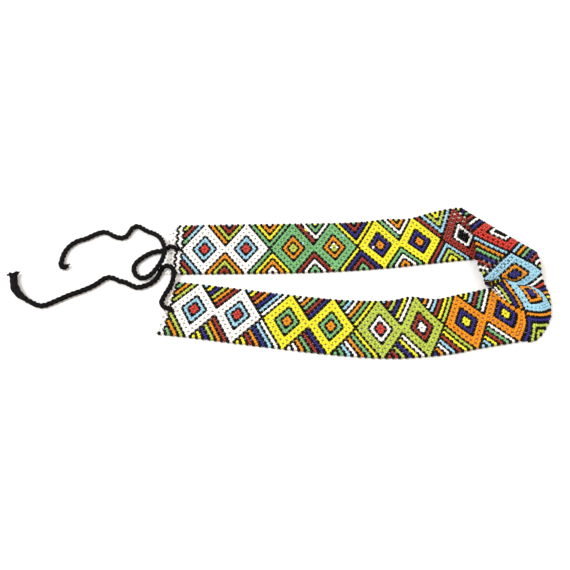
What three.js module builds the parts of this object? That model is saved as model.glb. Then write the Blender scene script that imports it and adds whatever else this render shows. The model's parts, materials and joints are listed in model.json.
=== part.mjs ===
// A netted bead belt laid in a U on a table, with a twisted cord tie sewn to each end.
// Millimetres, +Z up. The band runs from its far left end to a fold-over and a turn on the
// right, and back to its near left end. The origin is under the middle of the band.
import * as THREE from 'three';

// The net: columns run along the band, rows across it, counted from the first diamond's centre
const COLUMN_PITCH = 2.5;
const ROW_PITCH = 3.5;
const EDGE_ROW = 7;
const EDGE_BEAD = 2.5;
const BAND_THICKNESS = 2.4;
const FIRST_COLUMN = -12;
const LAST_COLUMN = 264;

// The fold-over: where its crease crosses the middle, its angle to the band, and its loop
const FOLD = { column: 98, angle: 45, radius: 5 };

// Where the fold-over goes into the turn, and the turn into the near leg
const JOIN_COLUMN = 116;
const LEAVE_COLUMN = 150;

// The ties
const CORD_DIAMETER = 4.6;
const FAR_KNOT_DIAMETER = 5.6;
const BOUND_END_DIAMETER = 7;
const CLEARANCE = 0.3;
const TABLE_GAP = 0.1;

const HALF_WIDTH = EDGE_ROW * ROW_PITCH + EDGE_BEAD / 2;
const BAND_WIDTH = 2 * HALF_WIDTH;

// How finely the band and the cords are divided
const STRIPS_ACROSS = 12;
const LEG_STEP = 4;
const TURN_STEP = 1;
const FINE_MARGIN = 14;
const CORD_SIDES = 10;
const TIE_STEPS = 40;
const KNOT_STEPS = 7;

// Where the middle of the far left end lies on the table
const START = { x: -98.5, y: 34.9 };

// Gives each row of a table its column of the net, at the row's share of the way along a span
function along(first, last, rows) {
  return rows.map(({ at, ...row }) => ({ column: first + at * (last - first), ...row }));
}

// Far leg, up to the fold-over and past it. heading and skew are degrees, pace is the share
// of the column pitch, far and near are shares of the half width, lifts of the band width.
// A leg without skews has its sections square to its heading.
const FAR_LEG = along(FIRST_COLUMN, JOIN_COLUMN, [
  { at: 0, heading: 1, skew: 0, pace: 1.01, far: 1.04, near: 0.97, liftFar: 0, lift: 0, liftNear: 0 },
  { at: 0.33, heading: 1, skew: 0, pace: 1, far: 1.06, near: 0.97, liftFar: 0, lift: 0, liftNear: 0 },
  { at: 0.53, heading: 4, skew: 0, pace: 0.98, far: 1.05, near: 0.92, liftFar: 0, lift: 0, liftNear: 0 },
  { at: 0.6, heading: 6, skew: 0, pace: 0.98, far: 1.1, near: 0.9, liftFar: 0, lift: 0, liftNear: 0 },
  { at: 0.66, heading: 8, skew: 0, pace: 0.98, far: 1.02, near: 0.89, liftFar: 0.01, lift: 0, liftNear: 0 },
  { at: 0.73, heading: 9, skew: 1, pace: 0.97, far: 1.08, near: 0.91, liftFar: 0.07, lift: 0, liftNear: 0 },
  { at: 0.8, heading: 7, skew: 5, pace: 0.98, far: 1.11, near: 0.94, liftFar: 0.1, lift: 0.01, liftNear: 0 },
  { at: 0.86, heading: 4, skew: 0.5, pace: 1.02, far: 1.05, near: 0.98, liftFar: 0.07, lift: 0.01, liftNear: 0 },
  { at: 0.92, heading: 4, skew: -1, pace: 1.1, far: 1.02, near: 0.9, liftFar: 0, lift: 0, liftNear: 0 },
  { at: 1, heading: 2.5, skew: -2, pace: 1.17, far: 1.18, near: 0.83, liftFar: 0, lift: 0, liftNear: 0 },
]);

// The turn: right, back and up of each section's inner edge, middle and outer edge, as shares
// of the band width, from the middle of the section where the fold-over ends. Up is from the
// table. The inner edge dips into a valley at a quarter of the way and stands up in a ridge
// past the halfway section.
const TURN = along(JOIN_COLUMN, LEAVE_COLUMN, [
  { at: 0.12, inner: [-0.51, -0.28, 0.17], middle: [-0.03, -0.2, 0.16], outer: [0.41, -0.13, 0.14] },
  { at: 0.21, inner: [-0.48, -0.23, 0.05], middle: [-0.01, -0.23, 0.05], outer: [0.43, -0.28, 0.09] },
  { at: 0.29, inner: [-0.45, -0.29, 0.03], middle: [0.03, -0.32, 0.04], outer: [0.46, -0.39, 0.05] },
  { at: 0.41, inner: [-0.36, -0.32, 0.14], middle: [0.12, -0.42, 0.15], outer: [0.47, -0.56, 0.05] },
  { at: 0.53, inner: [-0.27, -0.36, 0.25], middle: [0.14, -0.57, 0.19], outer: [0.45, -0.73, 0.03] },
  { at: 0.62, inner: [-0.31, -0.41, 0.28], middle: [0.11, -0.7, 0.17], outer: [0.42, -0.89, 0.01] },
  { at: 0.71, inner: [-0.36, -0.42, 0.21], middle: [0.07, -0.77, 0.11], outer: [0.33, -1.05, 0] },
  { at: 0.79, inner: [-0.4, -0.42, 0.15], middle: [-0.01, -0.85, 0.09], outer: [0.22, -1.2, 0] },
  { at: 0.88, inner: [-0.4, -0.4, 0.09], middle: [-0.08, -0.83, 0.03], outer: [0.07, -1.31, 0] },
  { at: 1, inner: [-0.35, -0.35, 0], middle: [-0.25, -0.83, 0], outer: [-0.13, -1.3, 0] },
]);

// Near leg, from the turn to the near left end. The far edge is the one next to the far leg.
const NEAR_LEG = along(LEAVE_COLUMN, LAST_COLUMN, [
  { at: 0, heading: -166, pace: 0.97, far: 1, near: 1, liftFar: 0, lift: 0, liftNear: 0 },
  { at: 0.12, heading: -168, pace: 0.93, far: 0.96, near: 0.94, liftFar: 0.02, lift: 0, liftNear: 0 },
  { at: 0.19, heading: -171, pace: 0.88, far: 0.95, near: 0.97, liftFar: 0, lift: 0.02, liftNear: 0 },
  { at: 0.28, heading: -175, pace: 0.91, far: 1.07, near: 0.97, liftFar: 0.06, lift: 0, liftNear: 0 },
  { at: 0.35, heading: -179, pace: 0.95, far: 1.03, near: 0.98, liftFar: 0, lift: 0, liftNear: 0 },
  { at: 0.54, heading: -187, pace: 0.98, far: 0.98, near: 0.95, liftFar: 0, lift: 0, liftNear: 0 },
  { at: 0.79, heading: -189, pace: 1, far: 0.94, near: 0.99, liftFar: 0, lift: 0, liftNear: 0 },
  { at: 1, heading: -187, pace: 1, far: 0.92, near: 1.01, liftFar: 0, lift: 0, liftNear: 0 },
]);

// The ties' routes: right and back of the middle of the band's end, and up from where the
// cord would lie on the table. ON_BAND is the lift of a cord that lies on the band.
const ON_BAND = BAND_THICKNESS + CLEARANCE;
const FAR_TIE = [
  [11, -2.5, ON_BAND], [5.5, 0, ON_BAND + 0.1], [2, 1.5, ON_BAND], [-1, 0, 2.2], [-5, -1.5, 0.4],
  [-10, -2, 0], [-15.5, -4, 0], [-21, -8.5, 0], [-25.5, -13.5, 0], [-27, -19.5, 0], [-25, -25.5, 0],
  [-21, -29, 0], [-16, -29, 0.2], [-11.5, -27, 1.8], [-7.5, -23.5, 4.4], [-4.5, -19.5, 6], [-2.5, -13, 6.2],
  [-2, -5, 6], [-4.5, 3.5, 4.6], [-9, 12, 2.2], [-15.5, 18, 0.4], [-21, 20.5, 0], [-26, 24, 0], [-30, 26, 0],
  [-34, 23.5, 0], [-36, 18.5, 0], [-38.5, 14, 0], [-43.5, 13, 0], [-50, 15.5, 0], [-55.5, 19, 0],
  [-60.5, 19, 0], [-67, 15.5, 0], [-72.5, 12, 0], [-79.5, 9, 0], [-84.5, 4, 0], [-87.5, -2.5, 0],
  [-88.5, -9, 0], [-88.3, -14, 0],
];
const FAR_KNOT = [[-87.5, -18], [-85, -19.3], [-82, -16.5]];
const NEAR_TIE = [
  [9.5, -6.5, ON_BAND], [4.5, -4.5, ON_BAND], [1, -3, ON_BAND], [-1, 1, ON_BAND], [0.5, 7, ON_BAND],
  [3, 13, ON_BAND], [5.2, 19.5, ON_BAND], [6, 26.5, ON_BAND], [5.2, 32.5, ON_BAND], [2.2, 36.6, ON_BAND],
  [-2.2, 37, ON_BAND], [-5.4, 34, 0.8], [-7, 29.5, 0], [-9.5, 24.5, 0], [-14, 20.5, 0], [-18.5, 18.5, 0],
  [-23, 17.5, 0], [-28.5, 19.5, 0], [-33.5, 22.5, 0], [-39, 24, 0], [-43.5, 26.5, 0], [-47.5, 27.5, 0],
  [-51.5, 26, 0], [-55.5, 22, 0], [-61.5, 17.5, 0], [-69, 13.5, 0], [-76.5, 10, 0], [-83.5, 6, 0],
  [-89.5, 2.5, 0], [-95, 0, 0], [-100, 0, 0], [-106, 3, 0], [-112.5, 6.5, 0],
];
const BOUND_END = [[-118.5, 11.5], [-122.5, 17.5], [-125, 24.5], [-126.5, 29.5]];

const radians = THREE.MathUtils.degToRad;

// Slope of a table's column at a row, through the rows before and after it
function slopeAt(rows, read, index) {
  const before = rows[Math.max(index - 1, 0)];
  const after = rows[Math.min(index + 1, rows.length - 1)];
  return (read(after) - read(before)) / (after.column - before.column);
}

// Smooth value of a table at a column of the net
function blend(rows, read, column) {
  let index = 0;
  while (index < rows.length - 2 && column > rows[index + 1].column) index += 1;
  const low = rows[index];
  const high = rows[index + 1];
  const span = high.column - low.column;
  const t = THREE.MathUtils.clamp((column - low.column) / span, 0, 1);
  const lowSlope = slopeAt(rows, read, index) * span;
  const highSlope = slopeAt(rows, read, index + 1) * span;
  const ends = (2 * t ** 3 - 3 * t ** 2 + 1) * read(low) + (3 * t ** 2 - 2 * t ** 3) * read(high);
  return ends + (t ** 3 - 2 * t ** 2 + t) * lowSlope + (t ** 3 - t ** 2) * highSlope;
}

// A value across the band, from its far or inner edge (u = 1) to its other edge (u = -1)
function acrossBlend(first, middle, last, u) {
  return middle + ((first - last) / 2) * u + ((first + last) / 2 - middle) * u * u;
}

// Middle line of a leg on the table, at every half column
const ROUTE_STEP = 0.5;
function legRoute(rows, start) {
  const route = [start];
  for (let column = rows[0].column; column < rows[rows.length - 1].column; column += ROUTE_STEP) {
    const halfway = column + ROUTE_STEP / 2;
    const heading = radians(blend(rows, (row) => row.heading, halfway));
    const step = blend(rows, (row) => row.pace, halfway) * COLUMN_PITCH * ROUTE_STEP;
    const last = route[route.length - 1];
    route.push({ x: last.x + step * Math.cos(heading), y: last.y + step * Math.sin(heading) });
  }
  return route;
}

// A leg's surface before any folding; side is 1 while the band's first face is up, then -1
function legPoint(rows, route, side, column, u) {
  const place = THREE.MathUtils.clamp((column - rows[0].column) / ROUTE_STEP, 0, route.length - 1.001);
  const index = Math.floor(place);
  const share = place - index;
  const turned = blend(rows, (row) => row.heading + (row.skew ?? 0), column) + 90 * side;
  const reach = u * HALF_WIDTH * blend(rows, (row) => (u > 0 ? row.far : row.near), column);
  const lifts = ['liftFar', 'lift', 'liftNear'].map((name) => blend(rows, (row) => row[name], column));
  return new THREE.Vector3(
    THREE.MathUtils.lerp(route[index].x, route[index + 1].x, share) + reach * Math.cos(radians(turned)),
    THREE.MathUtils.lerp(route[index].y, route[index + 1].y, share) + reach * Math.sin(radians(turned)),
    acrossBlend(...lifts, u) * BAND_WIDTH,
  );
}

const farRoute = legRoute(FAR_LEG, START);
const foldHeading = radians(blend(FAR_LEG, (row) => row.heading, FOLD.column) - FOLD.angle);
const foldPoint = legPoint(FAR_LEG, farRoute, 1, FOLD.column, 0);
const foldNormal = new THREE.Vector3(-Math.sin(foldHeading), Math.cos(foldHeading), 0);

// Wraps what lies past the crease over a loop and lays it back on top of the far leg
function foldedPoint(column, u) {
  const point = legPoint(FAR_LEG, farRoute, 1, column, u);
  const past = point.clone().sub(foldPoint).dot(foldNormal);
  const halfLoop = Math.PI * FOLD.radius;
  if (past <= 0) return point;
  if (past >= halfLoop) {
    point.addScaledVector(foldNormal, halfLoop - 2 * past);
    point.z = 2 * FOLD.radius;
    return point;
  }
  const angle = past / FOLD.radius;
  point.addScaledVector(foldNormal, FOLD.radius * Math.sin(angle) - past);
  point.z = FOLD.radius * (1 - Math.cos(angle)) + (point.z * (1 + Math.cos(angle))) / 2;
  return point;
}

// The turn's sections in table coordinates, led in by the last two sections of the fold-over
const joinPoint = foldedPoint(JOIN_COLUMN, 0);
function foldedSection(column) {
  const [inner, middle, outer] = [1, 0, -1].map((u) => foldedPoint(column, u).toArray());
  return { column, inner, middle, outer };
}
function placedSection({ column, inner, middle, outer }) {
  const place = ([right, back, up]) => [
    joinPoint.x + right * BAND_WIDTH, joinPoint.y + back * BAND_WIDTH, up * BAND_WIDTH];
  return { column, inner: place(inner), middle: place(middle), outer: place(outer) };
}
const leadIn = TURN[0].column - JOIN_COLUMN;
const turnSections = [
  foldedSection(JOIN_COLUMN - leadIn), foldedSection(JOIN_COLUMN), ...TURN.map(placedSection)];

function turnPoint(column, u) {
  const parts = [0, 1, 2].map((axis) => acrossBlend(
    blend(turnSections, (row) => row.inner[axis], column),
    blend(turnSections, (row) => row.middle[axis], column),
    blend(turnSections, (row) => row.outer[axis], column),
    u,
  ));
  return new THREE.Vector3(...parts);
}

const leavePoint = turnPoint(LEAVE_COLUMN, 0);
const nearRoute = legRoute(NEAR_LEG, { x: leavePoint.x, y: leavePoint.y });

// The band's middle surface, at a column of the net and u from 1 to -1 across
function bandPoint(column, u) {
  let point;
  if (column <= JOIN_COLUMN) point = foldedPoint(column, u);
  else if (column <= LEAVE_COLUMN) point = turnPoint(column, u);
  else point = legPoint(NEAR_LEG, nearRoute, -1, column, u);
  point.z = Math.max(point.z, 0) + BAND_THICKNESS / 2;
  return point;
}

function bandNormal(column, u) {
  const reach = 0.02;
  const onward = bandPoint(Math.min(column + 0.5, LAST_COLUMN), u);
  onward.sub(bandPoint(Math.max(column - 0.5, FIRST_COLUMN), u));
  const across = bandPoint(column, Math.min(u + reach, 1)).sub(bandPoint(column, Math.max(u - reach, -1)));
  return onward.cross(across).normalize();
}

// Columns at which the band is cut into sections, closer together in the fold-over and turn
function sectionColumns() {
  const columns = [];
  let column = FIRST_COLUMN;
  while (column < LAST_COLUMN) {
    columns.push(column);
    const fine = column >= FOLD.column - FINE_MARGIN && column < LEAVE_COLUMN;
    column += fine ? TURN_STEP : LEG_STEP;
  }
  columns.push(LAST_COLUMN);
  return columns;
}

// One closed slab: each section is a ring of points, over the band and back under it
function bandGeometry() {
  const columns = sectionColumns();
  const ring = 2 * (STRIPS_ACROSS + 1);
  const positions = [];
  for (const column of columns) {
    const upper = [];
    const lower = [];
    for (let strip = 0; strip <= STRIPS_ACROSS; strip += 1) {
      const u = 1 - (2 * strip) / STRIPS_ACROSS;
      const middle = bandPoint(column, u);
      const offset = bandNormal(column, u).multiplyScalar(BAND_THICKNESS / 2);
      upper.push(middle.clone().add(offset));
      lower.unshift(middle.clone().sub(offset));
    }
    for (const point of [...upper, ...lower]) positions.push(point.x, point.y, point.z);
  }
  const indices = [];
  const quad = (a, b, c, d) => indices.push(a, b, c, a, c, d);
  for (let section = 0; section < columns.length - 1; section += 1) {
    for (let k = 0; k < ring; k += 1) {
      const here = section * ring;
      const next = here + ring;
      const after = (k + 1) % ring;
      quad(here + k, here + after, next + after, next + k);
    }
  }
  const end = (columns.length - 1) * ring;
  for (let k = 0; k < STRIPS_ACROSS; k += 1) {
    const under = ring - 1 - k;
    quad(k, under, under - 1, k + 1);
    quad(end + k, end + k + 1, end + under - 1, end + under);
  }
  const geometry = new THREE.BufferGeometry();
  geometry.setAttribute('position', new THREE.Float32BufferAttribute(positions, 3));
  geometry.setIndex(indices);
  geometry.computeVertexNormals();
  return geometry;
}

// A round cord along a smooth curve through its points
function cordGeometry(points, diameter, steps) {
  const section = new THREE.Shape();
  for (let side = 0; side < CORD_SIDES; side += 1) {
    const angle = (side * 2 * Math.PI) / CORD_SIDES;
    const corner = [(diameter / 2) * Math.cos(angle), (diameter / 2) * Math.sin(angle)];
    if (side === 0) section.moveTo(...corner);
    else section.lineTo(...corner);
  }
  section.closePath();
  const curve = new THREE.CatmullRomCurve3(points, false, 'centripetal');
  return new THREE.ExtrudeGeometry(section, { steps, extrudePath: curve, bevelEnabled: false });
}

// Points of a tie on the table, from the middle of the band's end
function tiePoints(end, route) {
  const lying = CORD_DIAMETER / 2 + TABLE_GAP;
  return route.map(([right, back, lift]) => new THREE.Vector3(end.x + right, end.y + back, lying + lift));
}

// A knot lies on the table; it starts just past the tie's last point and leads straight on
function knotPoints(end, tie, route, diameter) {
  const lying = diameter / 2 + TABLE_GAP;
  const points = route.map(([right, back]) => new THREE.Vector3(end.x + right, end.y + back, lying));
  const [before, last] = tie.slice(-2);
  const onward = last.clone().sub(before).setZ(0).normalize();
  const start = last.clone().addScaledVector(onward, CLEARANCE).setZ(lying);
  return [start, start.clone().addScaledVector(onward, diameter / 4), ...points];
}

const beadwork = new THREE.MeshStandardMaterial({ color: 0xe9dfc8, roughness: 0.35, metalness: 0 });
const blackYarn = new THREE.MeshStandardMaterial({ color: 0x141214, roughness: 0.95, metalness: 0 });

const belt = new THREE.Group();

function addPiece(name, geometry, material) {
  const mesh = new THREE.Mesh(geometry, material);
  mesh.name = name;
  belt.add(mesh);
  return mesh;
}

const band = addPiece('bead_band', bandGeometry(), beadwork);

const farEnd = bandPoint(FIRST_COLUMN, 0);
const farTie = tiePoints(farEnd, FAR_TIE);
const farKnot = knotPoints(farEnd, farTie, FAR_KNOT, FAR_KNOT_DIAMETER);
addPiece('far_tie', cordGeometry(farTie, CORD_DIAMETER, TIE_STEPS), blackYarn);
addPiece('far_tie_knot', cordGeometry(farKnot, FAR_KNOT_DIAMETER, KNOT_STEPS), blackYarn);

const nearEnd = bandPoint(LAST_COLUMN, 0);
const nearTie = tiePoints(nearEnd, NEAR_TIE);
const boundEnd = knotPoints(nearEnd, nearTie, BOUND_END, BOUND_END_DIAMETER);
addPiece('near_tie', cordGeometry(nearTie, CORD_DIAMETER, TIE_STEPS), blackYarn);
addPiece('near_tie_bound_end', cordGeometry(boundEnd, BOUND_END_DIAMETER, KNOT_STEPS), blackYarn);

// The origin lies on the table, under the middle of the band's box
band.geometry.computeBoundingBox();
const { min, max } = band.geometry.boundingBox;
for (const mesh of belt.children) mesh.position.set(-(min.x + max.x) / 2, -(min.y + max.y) / 2, -min.z);

export default belt;
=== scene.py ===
"""A netted bead belt laid in a U on a white table, with a twisted black cord tie at each end."""

import json
import math
import random

import bpy
import numpy as np
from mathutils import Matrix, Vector


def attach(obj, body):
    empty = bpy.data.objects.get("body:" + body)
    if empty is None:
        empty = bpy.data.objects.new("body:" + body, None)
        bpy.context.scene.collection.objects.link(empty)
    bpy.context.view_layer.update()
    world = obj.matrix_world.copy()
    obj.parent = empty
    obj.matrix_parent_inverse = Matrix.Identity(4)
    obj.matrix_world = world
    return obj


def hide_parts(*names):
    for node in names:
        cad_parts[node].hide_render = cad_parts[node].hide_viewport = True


MM = 0.001

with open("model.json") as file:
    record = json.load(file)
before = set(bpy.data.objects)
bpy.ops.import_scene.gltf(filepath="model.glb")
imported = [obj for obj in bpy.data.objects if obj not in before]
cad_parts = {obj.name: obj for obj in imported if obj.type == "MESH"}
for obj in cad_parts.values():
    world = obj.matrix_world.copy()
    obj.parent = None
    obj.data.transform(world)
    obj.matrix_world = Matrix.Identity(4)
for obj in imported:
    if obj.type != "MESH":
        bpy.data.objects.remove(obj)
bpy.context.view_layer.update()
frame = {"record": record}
bpy.ops.object.select_all(action="DESELECT")

# The net, in millimetres: columns run along the band, rows across it
COLUMN_PITCH = 2.5
ROW_PITCH = 3.5
EDGE_ROW = 7
EDGE_BEAD = 2.5
BAND_THICKNESS = 2.4
FIRST_COLUMN = -12
LAST_COLUMN = 264
HALF_WIDTH = EDGE_ROW * ROW_PITCH + EDGE_BEAD / 2
BAND_WIDTH = 2 * HALF_WIDTH

# Beads are a little larger than their pitch, so that the gaps between them close up
BEAD_DIAMETER = 2.85
BEAD_LENGTH = 2.3
THREAD_DIAMETER = 0.6

FOLD = {"column": 98, "angle": 45, "radius": 5}
JOIN_COLUMN = 116
LEAVE_COLUMN = 150

CORD_DIAMETER = 4.6
FAR_KNOT_DIAMETER = 5.6
BOUND_END_DIAMETER = 7
TABLE_GAP = 0.1
CLEARANCE = 0.3

# Where the middle of the far left end lies, and where the band's middle is, both from the
# point of the table that the camera looks at
START = (-98.5, 34.9)
BAND_MIDDLE = (56.066, 4.584)


def rows_of(names, *rows):
    return [dict(zip(names.split(), row)) for row in rows]


def along(first, last, names, *rows):
    """A table whose rows lie at shares of the way from one column of the net to another."""
    table = rows_of("column " + names, *rows)
    for row in table:
        row["column"] = first + row["column"] * (last - first)
    return table


# Headings and skews are degrees, pace is the share of the column pitch, far and near are
# shares of the half width, and lifts are shares of the band width.
LEG_NAMES = "heading skew pace far near lift_far lift lift_near"
FAR_LEG = along(
    FIRST_COLUMN, JOIN_COLUMN, LEG_NAMES,
    (0, 1, 0, 1.01, 1.04, 0.97, 0, 0, 0),
    (0.33, 1, 0, 1, 1.06, 0.97, 0, 0, 0),
    (0.53, 4, 0, 0.98, 1.05, 0.92, 0, 0, 0),
    (0.6, 6, 0, 0.98, 1.1, 0.9, 0, 0, 0),
    (0.66, 8, 0, 0.98, 1.02, 0.89, 0.01, 0, 0),
    (0.73, 9, 1, 0.97, 1.08, 0.91, 0.07, 0, 0),
    (0.8, 7, 5, 0.98, 1.11, 0.94, 0.1, 0.01, 0),
    (0.86, 4, 0.5, 1.02, 1.05, 0.98, 0.07, 0.01, 0),
    (0.92, 4, -1, 1.1, 1.02, 0.9, 0, 0, 0),
    (1, 2.5, -2, 1.17, 1.18, 0.83, 0, 0, 0),
)
NEAR_LEG = along(
    LEAVE_COLUMN, LAST_COLUMN, LEG_NAMES,
    (0, -166, 0, 0.97, 1, 1, 0, 0, 0),
    (0.12, -168, 0, 0.93, 0.96, 0.94, 0.02, 0, 0),
    (0.19, -171, 0, 0.88, 0.95, 0.97, 0, 0.02, 0),
    (0.28, -175, 0, 0.91, 1.07, 0.97, 0.06, 0, 0),
    (0.35, -179, 0, 0.95, 1.03, 0.98, 0, 0, 0),
    (0.54, -187, 0, 0.98, 0.98, 0.95, 0, 0, 0),
    (0.79, -189, 0, 1, 0.94, 0.99, 0, 0, 0),
    (1, -187, 0, 1, 0.92, 1.01, 0, 0, 0),
)

# The turn's sections: right, back and up, as shares of the band width, from the middle of
# the section where the fold-over ends; up is from the table
TURN = along(
    JOIN_COLUMN, LEAVE_COLUMN, "inner middle outer",
    (0.12, (-0.51, -0.28, 0.17), (-0.03, -0.2, 0.16), (0.41, -0.13, 0.14)),
    (0.21, (-0.48, -0.23, 0.05), (-0.01, -0.23, 0.05), (0.43, -0.28, 0.09)),
    (0.29, (-0.45, -0.29, 0.03), (0.03, -0.32, 0.04), (0.46, -0.39, 0.05)),
    (0.41, (-0.36, -0.32, 0.14), (0.12, -0.42, 0.15), (0.47, -0.56, 0.05)),
    (0.53, (-0.27, -0.36, 0.25), (0.14, -0.57, 0.19), (0.45, -0.73, 0.03)),
    (0.62, (-0.31, -0.41, 0.28), (0.11, -0.7, 0.17), (0.42, -0.89, 0.01)),
    (0.71, (-0.36, -0.42, 0.21), (0.07, -0.77, 0.11), (0.33, -1.05, 0)),
    (0.79, (-0.4, -0.42, 0.15), (-0.01, -0.85, 0.09), (0.22, -1.2, 0)),
    (0.88, (-0.4, -0.4, 0.09), (-0.08, -0.83, 0.03), (0.07, -1.31, 0)),
    (1, (-0.35, -0.35, 0), (-0.25, -0.83, 0), (-0.13, -1.3, 0)),
)

# The ties' routes: right and back of the middle of the band's end, and up from where the
# cord would lie on the table
ON_BAND = BAND_THICKNESS + CLEARANCE
FAR_TIE = [
    (11, -2.5, ON_BAND), (5.5, 0, ON_BAND + 0.1), (2, 1.5, ON_BAND), (-1, 0, 2.2), (-5, -1.5, 0.4),
    (-10, -2, 0), (-15.5, -4, 0), (-21, -8.5, 0), (-25.5, -13.5, 0), (-27, -19.5, 0),
    (-25, -25.5, 0), (-21, -29, 0), (-16, -29, 0.2), (-11.5, -27, 1.8), (-7.5, -23.5, 4.4),
    (-4.5, -19.5, 6), (-2.5, -13, 6.2), (-2, -5, 6), (-4.5, 3.5, 4.6), (-9, 12, 2.2),
    (-15.5, 18, 0.4), (-21, 20.5, 0), (-26, 24, 0), (-30, 26, 0), (-34, 23.5, 0), (-36, 18.5, 0),
    (-38.5, 14, 0), (-43.5, 13, 0), (-50, 15.5, 0), (-55.5, 19, 0), (-60.5, 19, 0), (-67, 15.5, 0),
    (-72.5, 12, 0), (-79.5, 9, 0), (-84.5, 4, 0), (-87.5, -2.5, 0), (-88.5, -9, 0), (-88.3, -14, 0),
]
FAR_KNOT = [(-87.5, -18), (-85, -19.3), (-82, -16.5)]
NEAR_TIE = [
    (9.5, -6.5, ON_BAND), (4.5, -4.5, ON_BAND), (1, -3, ON_BAND), (-1, 1, ON_BAND),
    (0.5, 7, ON_BAND), (3, 13, ON_BAND), (5.2, 19.5, ON_BAND), (6, 26.5, ON_BAND),
    (5.2, 32.5, ON_BAND), (2.2, 36.6, ON_BAND), (-2.2, 37, ON_BAND), (-5.4, 34, 0.8), (-7, 29.5, 0),
    (-9.5, 24.5, 0), (-14, 20.5, 0), (-18.5, 18.5, 0), (-23, 17.5, 0), (-28.5, 19.5, 0),
    (-33.5, 22.5, 0), (-39, 24, 0), (-43.5, 26.5, 0), (-47.5, 27.5, 0), (-51.5, 26, 0),
    (-55.5, 22, 0), (-61.5, 17.5, 0), (-69, 13.5, 0), (-76.5, 10, 0), (-83.5, 6, 0),
    (-89.5, 2.5, 0), (-95, 0, 0), (-100, 0, 0), (-106, 3, 0), (-112.5, 6.5, 0),
]
BOUND_END = [(-118.5, 11.5), (-122.5, 17.5), (-125, 24.5), (-126.5, 29.5)]


# The band's surface, in millimetres of the table; u runs from -1 at its near or outer edge to
# 1 at its far or inner one


def slope_at(rows, read, index):
    before = rows[max(index - 1, 0)]
    after = rows[min(index + 1, len(rows) - 1)]
    return (read(after) - read(before)) / (after["column"] - before["column"])


def blend(rows, read, column):
    """Smooth value of a table at a column of the net."""
    index = 0
    while index < len(rows) - 2 and column > rows[index + 1]["column"]:
        index += 1
    low, high = rows[index], rows[index + 1]
    span = high["column"] - low["column"]
    t = min(max((column - low["column"]) / span, 0), 1)
    ends = (2 * t**3 - 3 * t**2 + 1) * read(low) + (3 * t**2 - 2 * t**3) * read(high)
    low_pull = (t**3 - 2 * t**2 + t) * slope_at(rows, read, index) * span
    high_pull = (t**3 - t**2) * slope_at(rows, read, index + 1) * span
    return ends + low_pull + high_pull


def across_blend(first, middle, last, u):
    """Smooth value across the band, from the values at its two edges and its middle."""
    return middle + (first - last) / 2 * u + ((first + last) / 2 - middle) * u * u


# Step of a leg's route, in columns
ROUTE_STEP = 0.5


def leg_route(rows, start):
    """Points of a leg's middle line, a step apart."""
    route = [start]
    column = rows[0]["column"]
    while column < rows[-1]["column"]:
        halfway = column + ROUTE_STEP / 2
        heading = math.radians(blend(rows, lambda row: row["heading"], halfway))
        step = blend(rows, lambda row: row["pace"], halfway) * COLUMN_PITCH * ROUTE_STEP
        x, y = route[-1]
        route.append((x + step * math.cos(heading), y + step * math.sin(heading)))
        column += ROUTE_STEP
    return route


class Leg:
    """A leg's surface before any folding; its values at a column are worked out once."""

    def __init__(self, rows, start, side):
        self.rows = rows
        self.side = side
        self.route = leg_route(rows, start)
        self.known = {}

    def value(self, name, column):
        return blend(self.rows, lambda row: row[name], column)

    def section(self, column):
        """Middle, direction across, reach on either side, and lifts of the leg at a column."""
        if column not in self.known:
            place = (column - self.rows[0]["column"]) / ROUTE_STEP
            place = min(max(place, 0), len(self.route) - 1.001)
            index = int(place)
            share = place - index
            here, after = self.route[index], self.route[index + 1]
            middle = [here[k] + (after[k] - here[k]) * share for k in (0, 1)]
            turned = self.value("heading", column) + self.value("skew", column) + 90 * self.side
            reaches = (self.value("far", column), self.value("near", column))
            names = ("lift_far", "lift", "lift_near")
            lifts = [self.value(name, column) * BAND_WIDTH for name in names]
            self.known[column] = (middle, math.radians(turned), reaches, lifts)
        return self.known[column]

    def point(self, column, u):
        middle, turned, (far, near), lifts = self.section(column)
        reach = u * HALF_WIDTH * (far if u > 0 else near)
        x = middle[0] + reach * math.cos(turned)
        y = middle[1] + reach * math.sin(turned)
        return Vector((x, y, across_blend(*lifts, u)))


far_leg = Leg(FAR_LEG, START, 1)
fold_heading = math.radians(far_leg.value("heading", FOLD["column"]) - FOLD["angle"])
fold_point = far_leg.point(FOLD["column"], 0)
fold_normal = Vector((-math.sin(fold_heading), math.cos(fold_heading), 0))


def folded_point(column, u):
    """Wraps what lies past the crease over a loop and lays it back on the far leg."""
    point = far_leg.point(column, u)
    past = (point - fold_point).dot(fold_normal)
    half_loop = math.pi * FOLD["radius"]
    if past <= 0:
        return point
    if past >= half_loop:
        point += fold_normal * (half_loop - 2 * past)
        point.z = 2 * FOLD["radius"]
        return point
    angle = past / FOLD["radius"]
    point += fold_normal * (FOLD["radius"] * math.sin(angle) - past)
    point.z = FOLD["radius"] * (1 - math.cos(angle)) + point.z * (1 + math.cos(angle)) / 2
    return point


join_point = folded_point(JOIN_COLUMN, 0)
SECTION_NAMES = ("inner", "middle", "outer")


def folded_section(column):
    """The end of the fold-over as a section of the turn."""
    points = (tuple(folded_point(column, u)) for u in (1, 0, -1))
    return {"column": column, **dict(zip(SECTION_NAMES, points))}


def placed_section(row):
    """A section of the turn, from its shares of the band width."""
    section = {"column": row["column"]}
    for name in SECTION_NAMES:
        right, back, up = (share * BAND_WIDTH for share in row[name])
        section[name] = (join_point.x + right, join_point.y + back, up)
    return section


lead_in = TURN[0]["column"] - JOIN_COLUMN
turn_sections = [folded_section(JOIN_COLUMN - lead_in), folded_section(JOIN_COLUMN)]
turn_sections += [placed_section(row) for row in TURN]
turn_known = {}


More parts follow.
